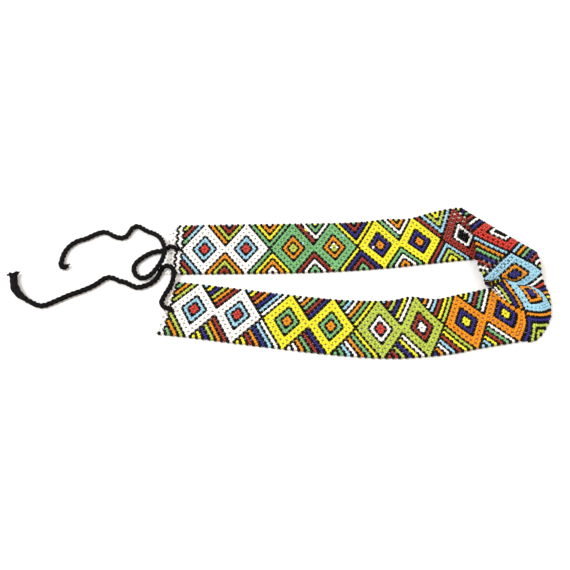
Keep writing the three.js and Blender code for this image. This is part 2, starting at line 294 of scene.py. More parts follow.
def turn_point(column, u):
    """A point of the turn; what its sections say at a column is worked out once."""
    if column not in turn_known:
        turn_known[column] = [
            [blend(turn_sections, lambda row: row[name][axis], column) for name in SECTION_NAMES]
            for axis in range(3)
        ]
    return Vector([across_blend(*values, u) for values in turn_known[column]])


leave_point = turn_point(LEAVE_COLUMN, 0)
near_leg = Leg(NEAR_LEG, (leave_point.x, leave_point.y), -1)


def band_point(column, row):
    """The band's middle surface at a place of the net, in metres of the frame."""
    u = row * ROW_PITCH / HALF_WIDTH
    if column <= JOIN_COLUMN:
        point = folded_point(column, u)
    elif column <= LEAVE_COLUMN:
        point = turn_point(column, u)
    else:
        point = near_leg.point(column, u)
    point.z = max(point.z, 0) + BAND_THICKNESS / 2
    return table_point(point)


def table_point(point):
    """A point in millimetres of the table, in metres of the frame."""
    x, y, z = point
    return Vector((x - BAND_MIDDLE[0], y - BAND_MIDDLE[1], z)) * MM


# Camera and light

# Metres above the table, and radians up from it as seen from the point looked at
CAMERA_HEIGHT = 0.437
CAMERA_ELEVATION = math.radians(55)
SENSOR_WIDTH = 36

# In pixels of the picture
FOCAL_LENGTH = 650
PICTURE_WIDTH = 570

camera_data = bpy.data.cameras.new("camera")
camera_data.sensor_width = SENSOR_WIDTH
camera_data.lens = SENSOR_WIDTH * FOCAL_LENGTH / PICTURE_WIDTH
camera_data.clip_start = 0.01
camera = bpy.data.objects.new("camera", camera_data)
bpy.context.collection.objects.link(camera)
backed_off = Vector((0, -CAMERA_HEIGHT / math.tan(CAMERA_ELEVATION), CAMERA_HEIGHT))
camera.location = table_point((0, 0, 0)) + backed_off
camera.rotation_euler = (math.pi / 2 - CAMERA_ELEVATION, 0, 0)
bpy.context.scene.camera = camera

COOL_WHITE = (0.9, 0.96, 1)
WARM_WHITE = (1, 0.92, 0.85)
ROOM_BRIGHTNESS = 0.7
EXPOSURE = 0.2

# Name, place and size in metres, power in watts, and colour of each lamp
LAMPS = [
    ("window_light", (-1.1, -0.1, 1.5), 0.9, 18, COOL_WHITE),
    ("room_light", (0.9, 0.9, 1.8), 1.8, 8, COOL_WHITE),
    ("front_light", (0, -1.6, 1.2), 1.4, 5, WARM_WHITE),
]
for name, place, size, power, colour in LAMPS:
    lamp_data = bpy.data.lights.new(name, "AREA")
    lamp_data.shape = "DISK"
    lamp_data.size = size
    lamp_data.energy = power
    lamp_data.color = colour
    lamp = bpy.data.objects.new(name, lamp_data)
    bpy.context.collection.objects.link(lamp)
    lamp.location = place
    lamp.rotation_euler = (-Vector(place)).to_track_quat("-Z", "Y").to_euler()

room = bpy.data.worlds.new("white_room")
bpy.context.scene.world = room
room.use_nodes = True
background = room.node_tree.nodes["Background"]
background.inputs["Color"].default_value = (*WARM_WHITE, 1)
background.inputs["Strength"].default_value = ROOM_BRIGHTNESS
bpy.context.scene.view_settings.view_transform = "Standard"
bpy.context.scene.view_settings.exposure = EXPOSURE


# Finishes


def shader_material(name):
    material = bpy.data.materials.new(name)
    material.use_nodes = True
    return material, material.node_tree.nodes, material.node_tree.links


def record_colour(slot):
    for entry in frame["record"]["materials"]:
        if entry["slot"] == slot:
            return (*entry["base_color"][:3], 1)
    raise KeyError(slot)


def shader_group(name, inputs, outputs):
    """An empty node group with its named sockets; inputs also give each socket's first value."""
    group = bpy.data.node_groups.new(name, "ShaderNodeTree")
    new_socket = group.interface.new_socket
    for socket, kind, value in inputs:
        made = new_socket(name=socket, in_out="INPUT", socket_type=f"NodeSocket{kind}")
        made.default_value = value
    for socket, kind in outputs:
        new_socket(name=socket, in_out="OUTPUT", socket_type=f"NodeSocket{kind}")
    return group, group.nodes.new("NodeGroupInput"), group.nodes.new("NodeGroupOutput")


def stretched(nodes, links, source, low, high):
    """Maps a value from 0 to 1 onto low to high, where each may be a number or an output."""
    node = nodes.new("ShaderNodeMapRange")
    links.new(source, node.inputs["Value"])
    for socket, value in (("To Min", low), ("To Max", high)):
        if isinstance(value, (int, float)):
            node.inputs[socket].default_value = value
        else:
            links.new(value, node.inputs[socket])
    return node.outputs["Result"]


# Noise scales, in cells a metre
GLASS_STREAKS = 900
FINE_HAIRS = 5200
BROAD_CLUMPS = 600
TABLE_CLOUDS = 4


def noise(nodes, links, place, scale, detail=2):
    node = nodes.new("ShaderNodeTexNoise")
    node.inputs["Scale"].default_value = scale
    node.inputs["Detail"].default_value = detail
    links.new(place, node.inputs["Vector"])
    return node.outputs["Fac"]


# What the streaks make of a bead's brightness and of its roughness
STREAK_BRIGHTNESS = (0.9, 1.1)
GLASS_ROUGHNESS = (0.2, 0.38)


def make_bead_batch():
    """Seed beads of one batch: each has its own tone, with slight streaks in the glass."""
    group, given, result = shader_group(
        "bead_batch",
        [
            ("Place", "Vector", (0, 0, 0)),
            ("Colour", "Color", (1, 1, 1, 1)),
            ("Tone", "Float", 0.5),
            ("Darkest", "Float", 0.8),
            ("Lightest", "Float", 1.1),
            ("Strength", "Float", 1),
            ("Hue", "Float", 0.5),
        ],
        [("Colour", "Color"), ("Roughness", "Float")],
    )
    nodes, links = group.nodes, group.links
    streaks = noise(nodes, links, given.outputs["Place"], GLASS_STREAKS)
    tinted = nodes.new("ShaderNodeHueSaturation")
    links.new(given.outputs["Colour"], tinted.inputs["Color"])
    value = stretched(
        nodes, links, given.outputs["Tone"], given.outputs["Darkest"], given.outputs["Lightest"]
    )
    streaked = nodes.new("ShaderNodeMath")
    streaked.operation = "MULTIPLY"
    links.new(value, streaked.inputs[0])
    links.new(stretched(nodes, links, streaks, *STREAK_BRIGHTNESS), streaked.inputs[1])
    links.new(streaked.outputs["Value"], tinted.inputs["Value"])
    links.new(given.outputs["Strength"], tinted.inputs["Saturation"])
    links.new(given.outputs["Hue"], tinted.inputs["Hue"])
    links.new(tinted.outputs["Color"], result.inputs["Colour"])
    links.new(stretched(nodes, links, streaks, *GLASS_ROUGHNESS), result.inputs["Roughness"])
    return group


# How much of the fluff's colour shows on a hair and in a clump, and the darkest and lightest ply
HAIR_FLUFF = (-0.5, 1)
CLUMP_FLUFF = (0, 1.2)
FIBRE_BRIGHTNESS = (0.8, 1.2)


def make_spun_fibre():
    """Spun fibre: fine uneven hairs, with lighter fluff on them."""
    group, given, result = shader_group(
        "spun_fibre",
        [
            ("Place", "Vector", (0, 0, 0)),
            ("Colour", "Color", (1, 1, 1, 1)),
            ("Fluff", "Color", (1, 1, 1, 1)),
            ("Tone", "Float", 0.5),
        ],
        [("Colour", "Color"), ("Height", "Float")],
    )
    nodes, links = group.nodes, group.links
    fine = noise(nodes, links, given.outputs["Place"], FINE_HAIRS, 3)
    broad = noise(nodes, links, given.outputs["Place"], BROAD_CLUMPS)
    fluff = nodes.new("ShaderNodeMath")
    fluff.operation = "MULTIPLY"
    links.new(stretched(nodes, links, fine, *HAIR_FLUFF), fluff.inputs[0])
    links.new(stretched(nodes, links, broad, *CLUMP_FLUFF), fluff.inputs[1])
    fluff.use_clamp = True
    blend_in = nodes.new("ShaderNodeMix")
    blend_in.data_type = "RGBA"
    links.new(fluff.outputs["Value"], blend_in.inputs["Factor"])
    links.new(given.outputs["Colour"], blend_in.inputs["A"])
    links.new(given.outputs["Fluff"], blend_in.inputs["B"])
    toned = nodes.new("ShaderNodeHueSaturation")
    links.new(blend_in.outputs["Result"], toned.inputs["Color"])
    brightness = stretched(nodes, links, given.outputs["Tone"], *FIBRE_BRIGHTNESS)
    links.new(brightness, toned.inputs["Value"])
    links.new(toned.outputs["Color"], result.inputs["Colour"])
    links.new(fine, result.inputs["Height"])
    return group


BEAD_BATCH = make_bead_batch()
SPUN_FIBRE = make_spun_fibre()


def placed_group(nodes, links, group, **values):
    """A group in a material, given the object's own coordinates and the piece's tones."""
    node = nodes.new("ShaderNodeGroup")
    node.node_tree = group
    place = nodes.new("ShaderNodeTexCoord")
    tone = nodes.new("ShaderNodeAttribute")
    tone.attribute_name = "tone"
    links.new(place.outputs["Object"], node.inputs["Place"])
    links.new(tone.outputs["Fac"], node.inputs["Tone"])
    for socket, value in values.items():
        node.inputs[socket].default_value = value
    return node


# Each batch's darkest and lightest bead and the strength of its colour, as shares of the
# record's colour, and its hue, where 0.5 is the record's own
BATCHES = {
    "white": (0.97, 1.07, 0.4, 0.5),
    "black": (0.2, 0.5, 1, 0.5),
    "light_blue": (0.78, 1.02, 0.88, 0.5),
    "dark_blue": (0.62, 0.82, 1, 0.5),
    "green": (0.78, 1.06, 0.88, 0.485),
    "lime": (0.8, 1.04, 0.98, 0.495),
    "yellow": (0.82, 1.02, 1, 0.508),
    "orange": (0.76, 1, 1.04, 0.512),
    "red": (0.66, 0.9, 1, 0.502),
    "brick_red": (0.6, 0.88, 1.03, 0.505),
}


# Specular level and coat weight
SATIN = (0.12, 0.03)
GLOSSY = (0.3, 0.12)


def bead_glass(colour):
    """Opaque glass; black beads are satin, so that the lines between the fields stay dark."""
    material, nodes, links = shader_material(f"{colour}_bead_glass")
    shader = nodes["Principled BSDF"]
    darkest, lightest, strength, hue = BATCHES[colour]
    batch = placed_group(
        nodes, links, BEAD_BATCH, Colour=record_colour(f"bead_{colour}"),
        Darkest=darkest, Lightest=lightest, Strength=strength, Hue=hue,
    )
    specular, coat = SATIN if colour == "black" else GLOSSY
    links.new(batch.outputs["Colour"], shader.inputs["Base Color"])
    links.new(batch.outputs["Roughness"], shader.inputs["Roughness"])
    shader.inputs["Specular IOR Level"].default_value = specular
    shader.inputs["Coat Weight"].default_value = coat
    shader.inputs["Coat Roughness"].default_value = 0.08
    return material


def fibre_material(name, colour, fluff, depth):
    """Spun yarn or thread in a colour, with fluff of another and bumps of a depth in metres."""
    material, nodes, links = shader_material(name)
    shader = nodes["Principled BSDF"]
    fibre = placed_group(nodes, links, SPUN_FIBRE, Colour=colour, Fluff=fluff)
    relief = nodes.new("ShaderNodeBump")
    relief.inputs["Strength"].default_value = 0.8
    relief.inputs["Distance"].default_value = depth
    links.new(fibre.outputs["Height"], relief.inputs["Height"])
    links.new(fibre.outputs["Colour"], shader.inputs["Base Color"])
    links.new(relief.outputs["Normal"], shader.inputs["Normal"])
    shader.inputs["Roughness"].default_value = 0.8
    shader.inputs["Specular IOR Level"].default_value = 0.08
    return material


TABLE_SIDE = 6
CARD_SHADE = (0.95, 0.94, 0.93, 1)
CARD_LIGHT = (0.97, 0.965, 0.96, 1)


def table_top():
    """White card with a faint cloudiness."""
    material, nodes, links = shader_material("white_card")
    shader = nodes["Principled BSDF"]
    place = nodes.new("ShaderNodeTexCoord")
    clouds = noise(nodes, links, place.outputs["Object"], TABLE_CLOUDS)
    tint = nodes.new("ShaderNodeMix")
    tint.data_type = "RGBA"
    tint.inputs["A"].default_value = CARD_SHADE
    tint.inputs["B"].default_value = CARD_LIGHT
    links.new(clouds, tint.inputs["Factor"])
    links.new(tint.outputs["Result"], shader.inputs["Base Color"])
    shader.inputs["Roughness"].default_value = 0.7
    shader.inputs["Specular IOR Level"].default_value = 0.2
    return material


bpy.ops.mesh.primitive_plane_add(size=TABLE_SIDE, location=(0, 0, 0))
table = bpy.context.object
table.name = "table"
table.data.materials.append(table_top())


# Making one mesh of many copies of a small shape


def mesh_arrays(piece):
    """Corners and faces of a small shape, all of whose faces have four corners."""
    mesh = piece.data
    corners = np.empty(len(mesh.vertices) * 3)
    mesh.vertices.foreach_get("co", corners)
    faces = np.array([list(face.vertices) for face in mesh.polygons])
    return corners.reshape(-1, 3), faces


WALL_SIDES = 6


def ring_shape(radius, thickness, around, length_share=1):
    """A ring modelled at the origin and drawn out along its hole, as corners and faces."""
    bpy.ops.mesh.primitive_torus_add(
        major_segments=around, minor_segments=WALL_SIDES,
        major_radius=radius, minor_radius=thickness / 2,
    )
    ring = bpy.context.object
    bpy.ops.object.mode_set(mode="EDIT")
    bpy.ops.mesh.select_all(action="SELECT")
    bpy.ops.transform.resize(value=(1, 1, length_share))
    bpy.ops.object.mode_set(mode="OBJECT")
    arrays = mesh_arrays(ring)
    bpy.data.objects.remove(ring)
    return arrays


def copies(shape, places):
    """Corners, faces and tones of the shape at every place: a middle, an axis, a side, a tone."""
    corners, faces = shape
    count = len(places)
    all_corners = np.empty((count, len(corners), 3))
    tones = np.empty((count, len(corners)))
    for index, (middle, axis, across, tone) in enumerate(places):
        side = axis.cross(across).normalized()
        up = side.cross(axis)
        all_corners[index] = corners @ np.array((side, up, axis)) + np.array(middle)
        tones[index] = tone
    steps = np.arange(count)[:, None, None] * len(corners)
    return all_corners.reshape(-1, 3), (faces[None] + steps).reshape(-1, 4), tones.ravel()


def joined(*parts):
    """Several corners, faces and tones as one."""
    starts = np.cumsum([0] + [len(corners) for corners, _, _ in parts])
    corners = np.concatenate([corners for corners, _, _ in parts])
    faces = np.concatenate([faces + start for (_, faces, _), start in zip(parts, starts)])
    return corners, faces, np.concatenate([tones for _, _, tones in parts])


def add_mesh(name, arrays, material):
    """Makes a piece of corners, faces and tones, in its finish, riding on the part."""
    corners, faces, tones = arrays
    count, sides = faces.shape
    mesh = bpy.data.meshes.new(name)
    mesh.vertices.add(len(corners))
    mesh.vertices.foreach_set("co", np.asarray(corners, dtype=np.float32).ravel())
    mesh.loops.add(faces.size)
    mesh.loops.foreach_set("vertex_index", faces.astype(np.int32).ravel())
    mesh.polygons.add(count)
    mesh.polygons.foreach_set("loop_start", np.arange(0, faces.size, sides, dtype=np.int32))
    mesh.polygons.foreach_set("loop_total", np.full(count, sides, dtype=np.int32))
    mesh.update(calc_edges=True)
    mesh.polygons.foreach_set("use_smooth", np.full(count, True))
    tone = mesh.attributes.new("tone", "FLOAT", "POINT")
    tone.data.foreach_set("value", tones.astype(np.float32))
    mesh.materials.append(material)
    piece = bpy.data.objects.new(name, mesh)
    bpy.context.collection.objects.link(piece)
    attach(piece, "root")
    return piece


def tube(centres, sides_of, radii, sides, tone):
    """A closed tube of four-cornered faces through its centres; its ends are capped."""
    corners, faces = [], []
    for middle, (side, up), radius in zip(centres, sides_of, radii):
        for s in range(sides):
            turn = 2 * math.pi * s / sides
            corners.append(middle + (side * math.cos(turn) + up * math.sin(turn)) * radius)
    for k in range(len(centres) - 1):
        for s in range(sides):
            here, after = k * sides, (s + 1) % sides
            faces.append((here + s, here + after, here + sides + after, here + sides + s))
    last = (len(centres) - 1) * sides
    for s in range(sides // 2 - 1):
        cap = (s, s + 1, sides - 2 - s, sides - 1 - s)
        faces.append(cap[::-1])
        faces.append(tuple(last + corner for corner in cap))
    return np.array(corners), np.array(faces), np.full(len(corners), tone)


# Diamonds: the column of each centre, and the colours of its body, ring and centre
DIAMONDS = rows_of(
    "column body ring centre",
    (0, "white", "light_blue", "red"),
    (14, "white", "light_blue", "red"),
    (30, "green", "orange", "lime"),
    (44, "green", "orange", "lime"),
    (60, "yellow", "dark_blue", "orange"),
    (74, "yellow", "dark_blue", "orange"),
    (90, "brick_red", "white", "black"),
    (104, "red", "white", "black"),
    (120, "light_blue", "orange", "dark_blue"),
    (134, "light_blue", "orange", "dark_blue"),
    (150, "orange", "dark_blue", "yellow"),
    (164, "orange", "dark_blue", "yellow"),
    (180, "lime", "brick_red", "white"),
    (194, "lime", "white", "red"),
    (210, "yellow", "green", "orange"),
    (224, "yellow", "green", "orange"),
    (240, "white", "light_blue", "red"),
    (254, "white", "light_blue", "red"),
)

# Stripes between a diamond and the next, on the inner side and on the other side. The lines
# run along the first diamond, along the next one, or along the first for some lines and then
# in chevrons under the two.
STRIPES = rows_of(
    "inner other",
    (("chevrons", 1, "orange lime brick_red light_blue"), ("chevrons", 0, "orange lime brick_red")),
    (("chevrons", 0, "green yellow orange white"), ("chevrons", 1, "green yellow orange white")),
    (("chevrons", 1, "brick_red white green yellow"), ("chevrons", 0, "brick_red white green")),
    (
        ("chevrons", 0, "yellow dark_blue brick_red green"),
        ("chevrons", 1, "yellow dark_blue brick_red green"),
    ),
    (("chevrons", 1, "green white orange lime"), ("chevrons", 0, "green white orange")),
    (("chevrons", 1, "brick_red light_blue lime yellow"),) * 2,
    (("next", 0, "dark_blue white brick_red green dark_blue lime"),) * 2,
    (("first", 0, "light_blue orange green dark_blue brick_red white lime"),) * 2,
    (("first", 0, "white red dark_blue orange yellow"),) * 2,
    (("first", 0, "orange dark_blue lime white"), ("chevrons", 1, "orange dark_blue lime")),
    (
        ("first", 0, "white green brick_red light_blue yellow"),
        ("first", 0, "white green brick_red yellow light_blue"),
    ),
    (("first", 0, "lime yellow brick_red light_blue white orange dark_blue"),) * 2,
    (
        ("first", 0, "white yellow dark_blue lime brick_red light_blue"),
        ("first", 0, "white yellow dark_blue lime brick_red"),
    ),
    (
        ("first", 0, "yellow green orange white light_blue green brick_red"),
        ("first", 0, "yellow green orange white light_blue green"),
    ),
    (
        ("first", 0, "dark_blue brick_red green orange white lime"),
        ("first", 0, "dark_blue brick_red green orange white"),
    ),
    (
        ("first", 0, "white light_blue dark_blue orange brick_red yellow light_blue"),
        ("first", 0, "white light_blue dark_blue orange brick_red yellow"),
    ),
    (
        ("first", 0, "brick_red orange lime dark_blue yellow light_blue"),
        ("first", 0, "brick_red orange lime dark_blue yellow"),
    ),
)

# Past the last diamonds: the stripes, the column of the black line that bounds them, and that
# of a black strand in the white beyond it
FAR_END = {"stripes": "light_blue brick_red lime", "boundary": -7.5, "strand": -9.5}
NEAR_END = {"stripes": "lime orange green", "boundary": 261.5, "strand": None}

# Levels are counted outward from a diamond's centre, in columns and rows together
DIAMOND_REACH = 8
FIRST_STRIPE = 9

# Odd beads that the stringer put in, at places of the net
ODD_BEADS = {
    (33.5, 1.5): "light_blue",
    (34.5, 5.5): "yellow",
    (47.5, 3.5): "light_blue",
    (44, 1): "white",
    (43, 0): "white",
    (45, 0): "white",
    (57.5, -0.5): "white",
    (81.5, -6.5): "dark_blue",
    (42.5, -6.5): "lime",
    (-6, 3): "green",
    (-6.5, 2.5): "green",
    (-7, 2): "green",
}


def line_colour(level, names):
    """Lines are black at even levels and coloured at odd ones."""
    if level % 2 < 0.5 or level < FIRST_STRIPE:
        return "black"
    colours = names.split()
    return colours[min(int(level - FIRST_STRIPE) // 2, len(colours) - 1)]


def diamond_colour(diamond, level):
    if level <= 1:
        return diamond["centre"]
    if level in (2, 4, DIAMOND_REACH):
        return "black"
    return diamond["ring"] if level == 3 else diamond["body"]


def end_colour(column, row, diamond, end):
    """The colour of a bead past the last diamond at an end of the band."""
    away = abs(column - diamond["column"])
    outward = away - abs(end["boundary"] - diamond["column"])
    level = away + abs(row)
    if outward >= 0:
        return "black" if outward == 0 or column == end["strand"] else "white"
    if level <= DIAMOND_REACH:
        return diamond_colour(diamond, level)
    return line_colour(level, end["stripes"])


def bead_colour(column, row):
    """The colour of the bead at a place of the net, which may lie at half columns and rows."""
    if (column, row) in ODD_BEADS:
        return ODD_BEADS[column, row]
    if column < DIAMONDS[0]["column"]:
        return end_colour(column, row, DIAMONDS[0], FAR_END)
    if column > DIAMONDS[-1]["column"]:
        return end_colour(column, row, DIAMONDS[-1], NEAR_END)
    index = max(k for k, diamond in enumerate(DIAMONDS) if diamond["column"] <= column)
    first = DIAMONDS[index]
    first_level = column - first["column"] + abs(row)
    if first_level < DIAMOND_REACH or index == len(DIAMONDS) - 1:
        return diamond_colour(first, first_level)
    following = DIAMONDS[index + 1]
    next_level = following["column"] - column + abs(row)
    if next_level < DIAMOND_REACH:
        return diamond_colour(following, next_level)
    if DIAMOND_REACH in (first_level, next_level):
        return "black"
    lines, arms, names = STRIPES[index]["inner" if row > 0 else "other"]
    if lines == "first" or first_level < FIRST_STRIPE + 2 * arms:
        return line_colour(first_level, names)
    if lines == "next":
        return line_colour(next_level, names)
    return line_colour(min(first_level, next_level + 2 * arms), names)


def turning_colour(column, row):
    """Where the strings turn back at an edge the beads are black, but white past the end lines."""
    past_far = column < FAR_END["strand"] - 0.5
    past_near = column > NEAR_END["boundary"] and row > 0
    return "white" if past_far or past_near else "black"


chance = random.Random(9)
bead_places = {}
thread_ends = []

# How far the beads stray from a perfect net
LEAN = 0.09
STRAY = 0.1 * MM

# Black beads are a size larger than the others, so that the lines close up
BLACK_BEAD_SHARE = 1.07

# Turning beads sit a little outside the last row
TURNING_ROW = EDGE_ROW + 0.15

# How far a bead's hole, a turning bead's hole and the thread in each of them reach from the
# bead's middle, in columns or rows
HOLE = 0.25
THREAD = 0.27
TURNING_HOLE = 0.35
TURNING_THREAD = 0.6

# The thread in a turning bead lies a little inward, at a share of the turning row
INWARD = 0.99


def any_way(reach):
    return Vector([chance.uniform(-reach, reach) for _ in range(3)])


def string_bead(column, row, before, after, colour):
    """Puts a bead at a place of the net, with its hole from one place to another."""
    start, end = band_point(*before), band_point(*after)
    onward = band_point(column + HOLE, row) - band_point(column - HOLE, row)
    over = band_point(column, row + HOLE) - band_point(column, row - HOLE)
    hole = end - start
    axis = (hole + any_way(hole.length * LEAN)).normalized()
    middle = (start + end) / 2 + any_way(STRAY)
    middle.z = max(middle.z, BEAD_DIAMETER * BLACK_BEAD_SHARE / 2 * MM)
    bead_places.setdefault(colour, []).append((middle, axis, onward.cross(over), chance.random()))


def string_column(column):
    """Upright beads of a column, the turning beads at its edges, and the slanted beads after it."""
    for row in range(-EDGE_ROW, EDGE_ROW + 1):
        if (column + row) % 2:
            colour = bead_colour(column, row)
            string_bead(column, row, (column, row - HOLE), (column, row + HOLE), colour)
            thread_ends.append(((column, row - THREAD), (column, row + THREAD), colour))
        elif abs(row) == EDGE_ROW and FIRST_COLUMN < column < LAST_COLUMN:
            turn = math.copysign(TURNING_ROW, row)
            colour = turning_colour(column, row)
            before, after = column - TURNING_HOLE, column + TURNING_HOLE
            string_bead(column, turn, (before, turn), (after, turn), colour)
            before, after = column - TURNING_THREAD, column + TURNING_THREAD
            thread_ends.append(((before, turn * INWARD), (after, turn * INWARD), colour))
    if column == LAST_COLUMN:
        return
    for row in range(-EDGE_ROW, EDGE_ROW):
        rising = (column + row) % 2
        low = (column if rising else column + 1, row + THREAD)
        high = (column + 1 if rising else column, row + (1 - THREAD))
        colour = bead_colour(column + 0.5, row + 0.5)
        string_bead(column + 0.5, row + 0.5, low, high, colour)
        thread_ends.append((low, high, colour))


for column in range(FIRST_COLUMN, LAST_COLUMN + 1):
    string_column(column)

# One seed bead: a ring drawn out along its hole, with a wall that is a share of its diameter
BEAD_SIDES = 8
WALL_SHARE = 0.34
BEAD_WALL = WALL_SHARE * BEAD_DIAMETER * MM
bead_corners, bead_faces = ring_shape(
    (BEAD_DIAMETER * MM - BEAD_WALL) / 2, BEAD_WALL, BEAD_SIDES, BEAD_LENGTH * MM / BEAD_WALL
)

for colour, places in sorted(bead_places.items()):
    size = BLACK_BEAD_SHARE if colour == "black" else 1
    beads = copies((bead_corners * size, bead_faces), places)
    piece = add_mesh(f"beads_{colour}", beads, bead_glass(colour))
    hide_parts("bead_band")


FIBRE_SIDES = 4


def thread_rod(low, high):
    """The stringing thread in one bead."""
    start, end = band_point(*low), band_point(*high)
    axis = (end - start).normalized()
    side = axis.orthogonal().normalized()
    sides_of = ((side, axis.cross(side)),) * 2
    radii = (THREAD_DIAMETER / 2 * MM,) * 2
    return tube((start, end), sides_of, radii, FIBRE_SIDES, chance.random())


# Painted shade: the thread is darkened and tinted with its beads' colour, to stand in for the
# shadow and the glass-coloured light in the holes of the net
THREAD_SHADE = 0.45
THREAD_RELIEF = 0.05 * MM
THREAD_COLOUR = record_colour("net_thread")


def painted_thread_shade(colour):
    """The thread's colour between beads of a colour: painted shade, and painted light coloured by
    their glass.
    """
    glass = record_colour(f"bead_{colour}")
    return (*(THREAD_SHADE * t * g for t, g in zip(THREAD_COLOUR[:3], glass[:3])), 1)


def paint_thread_shade(piece, painted_shades):
    """Writes each rod's painted shade and glass-coloured light on its corners and lets the finish
    read it.
    """
    corners = len(piece.data.vertices) // len(painted_shades)
    attribute = piece.data.attributes.new("painted_thread_shade", "FLOAT_COLOR", "POINT")
    attribute.data.foreach_set("color", np.repeat(np.array(painted_shades), corners, axis=0).ravel())
    tree = piece.data.materials[0].node_tree
    read_painted_shade = tree.nodes.new("ShaderNodeAttribute")
    read_painted_shade.attribute_name = "painted_thread_shade"
    for node in tree.nodes:
        if node.type == "GROUP":
            tree.links.new(read_painted_shade.outputs["Color"], node.inputs["Colour"])
            tree.links.new(read_painted_shade.outputs["Color"], node.inputs["Fluff"])


threads = joined(*(thread_rod(low, high) for low, high, _ in thread_ends))
thread_material = fibre_material(
    "stringing_thread_fibre", THREAD_COLOUR, THREAD_COLOUR, THREAD_RELIEF
)
stringing_thread = add_mesh("stringing_thread", threads, thread_material)
# Paints shade and glass-coloured light on the thread, rod by rod
paint_thread_shade(stringing_thread, [painted_thread_shade(colour) for _, _, colour in thread_ends])
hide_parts("bead_band")


# Ties


CURVE_STEPS = 12


def fine_curve(points):
    """A centripetal curve through a route's points, in fine steps of uneven length."""
    ends = [points[0] * 2 - points[1], *points, points[-1] * 2 - points[-2]]
    fine = []
    for p0, p1, p2, p3 in zip(ends, ends[1:], ends[2:], ends[3:]):
        t1 = (p1 - p0).length ** 0.5
        t2 = t1 + (p2 - p1).length ** 0.5
        t3 = t2 + (p3 - p2).length ** 0.5
        for k in range(CURVE_STEPS):
            t = t1 + (t2 - t1) * k / CURVE_STEPS
            a = p0.lerp(p1, t / t1)
            b = p1.lerp(p2, (t - t1) / (t2 - t1))
            c = p2.lerp(p3, (t - t2) / (t3 - t2))
            d = a.lerp(b, t / t2)
            e = b.lerp(c, (t - t1) / (t3 - t1))
            fine.append(d.lerp(e, (t - t1) / (t2 - t1)))
    return [*fine, points[-1]]


def smooth_route(points, spacing):
    """Points at even steps along the smooth curve through a route's points, and its length."""
    fine = fine_curve(points)
    lengths = [0.0]
    for before, after in zip(fine, fine[1:]):
        lengths.append(lengths[-1] + (after - before).length)
    count = max(2, round(lengths[-1] / spacing))
    route, index = [], 0
    for k in range(count + 1):
        wanted = lengths[-1] * k / count
        while index < len(fine) - 2 and lengths[index + 1] < wanted:
            index += 1
        gap = lengths[index + 1] - lengths[index]
        route.append(fine[index].lerp(fine[index + 1], (wanted - lengths[index]) / gap))
    return route, lengths[-1]


def turned_frames(route):
    """Each point of a route with its direction and two sides that don't spin about it."""
    frames = []
    side = (route[1] - route[0]).cross(Vector((0, 0, 1))).normalized()
    for k, point in enumerate(route):
        ahead = (route[min(k + 1, len(route) - 1)] - route[max(k - 1, 0)]).normalized()
        side = (side - ahead * side.dot(ahead)).normalized()
        frames.append((point, ahead, side, ahead.cross(side)))
    return frames


# A ply's radius and how far its middle lies from the cord's, as shares of the cord's diameter
PLY_RADIUS = 0.27
PLY_OFFSET = 0.235
PLY_SIDES = 8
UNEVENNESS = 0.07
ROUNDED_END = 1.6 * MM
BLUNT_TIP = 0.2
TAPER = 12 * MM


def ply(frames, spacing, diameter, lay_length, start_turn, first_share, last_share):
    """One ply, laid round the cord's middle line, a little uneven and rounded off at its ends."""
    centres, sides_of, radii = [], [], []
    for k, (middle, _, side, up) in enumerate(frames):
        from_start, to_end = k * spacing, (len(frames) - 1 - k) * spacing
        share = min(
            1,
            first_share + (1 - first_share) * from_start / TAPER,
            last_share + (1 - last_share) * to_end / TAPER,
        )
        turn = start_turn + 2 * math.pi * from_start / lay_length
        away = side * math.cos(turn) + up * math.sin(turn)
        swell = 1 + UNEVENNESS * math.sin(k * 0.9 + start_turn) * math.sin(k * 0.37)
        rounded = min(from_start / ROUNDED_END, to_end / ROUNDED_END, 1)
        rounding = max(math.sqrt(1 - (1 - rounded) ** 2), BLUNT_TIP)
        centres.append(middle + away * diameter * PLY_OFFSET * share)
        sides_of.append((away, up * math.cos(turn) - side * math.sin(turn)))
        radii.append(diameter * PLY_RADIUS * share * swell * rounding)
    return tube(centres, sides_of, radii, PLY_SIDES, chance.random())


def hair(root, away, length, thickness):
    """A short loose fibre that tapers and bends a little."""
    middle = root + away * length * 0.5
    tip = root + away * length + any_way(length * 0.3)
    tip.z = max(tip.z, TABLE_GAP * MM)
    middle.z = max(middle.z, TABLE_GAP * MM)
    side = away.orthogonal().normalized()
    sides_of = ((side, away.cross(side)),) * 3
    radii = (thickness / 2, thickness / 2.5, thickness / 5)
    return tube((root, middle, tip), sides_of, radii, FIBRE_SIDES, chance.random())


# Loose fibres: thickness, shortest and longest in millimetres, how far they lean along the
# cord, and where they leave it, as a share of its diameter
HAIR_THICKNESS = 0.12 * MM
HAIR_LENGTHS = (0.6, 1.8)
HAIR_LEAN = 1.6
HAIR_ROOT = 0.42
HAIRS_PER_MM = 1.6


def loose_fibres(frames, spacing, diameter):
    """Fibres that stand out of a cord all along it."""
    hairs = []
    for _ in range(round(len(frames) * spacing / MM * HAIRS_PER_MM)):
        middle, ahead, side, up = chance.choice(frames)
        turn = chance.uniform(0, 2 * math.pi)
        away = side * math.cos(turn) + up * math.sin(turn)
        root = middle + away * diameter * HAIR_ROOT
        leaning = (away + ahead * chance.uniform(-HAIR_LEAN, HAIR_LEAN)).normalized()
        hairs.append(hair(root, leaning, chance.uniform(*HAIR_LENGTHS) * MM, HAIR_THICKNESS))
    return joined(*hairs)


def twisted_cord(route, diameter, lay_length, plies=3, first_share=1, last_share=1):
    """Plies of yarn laid round each other along a route, with their loose fibres."""
    frames = turned_frames(route)
    spacing = (route[1] - route[0]).length
    strands = []
    for n in range(plies):
        turn = 2 * math.pi * n / plies
        strands.append(ply(frames, spacing, diameter, lay_length, turn, first_share, last_share))
    return joined(*strands, loose_fibres(frames, spacing, diameter))


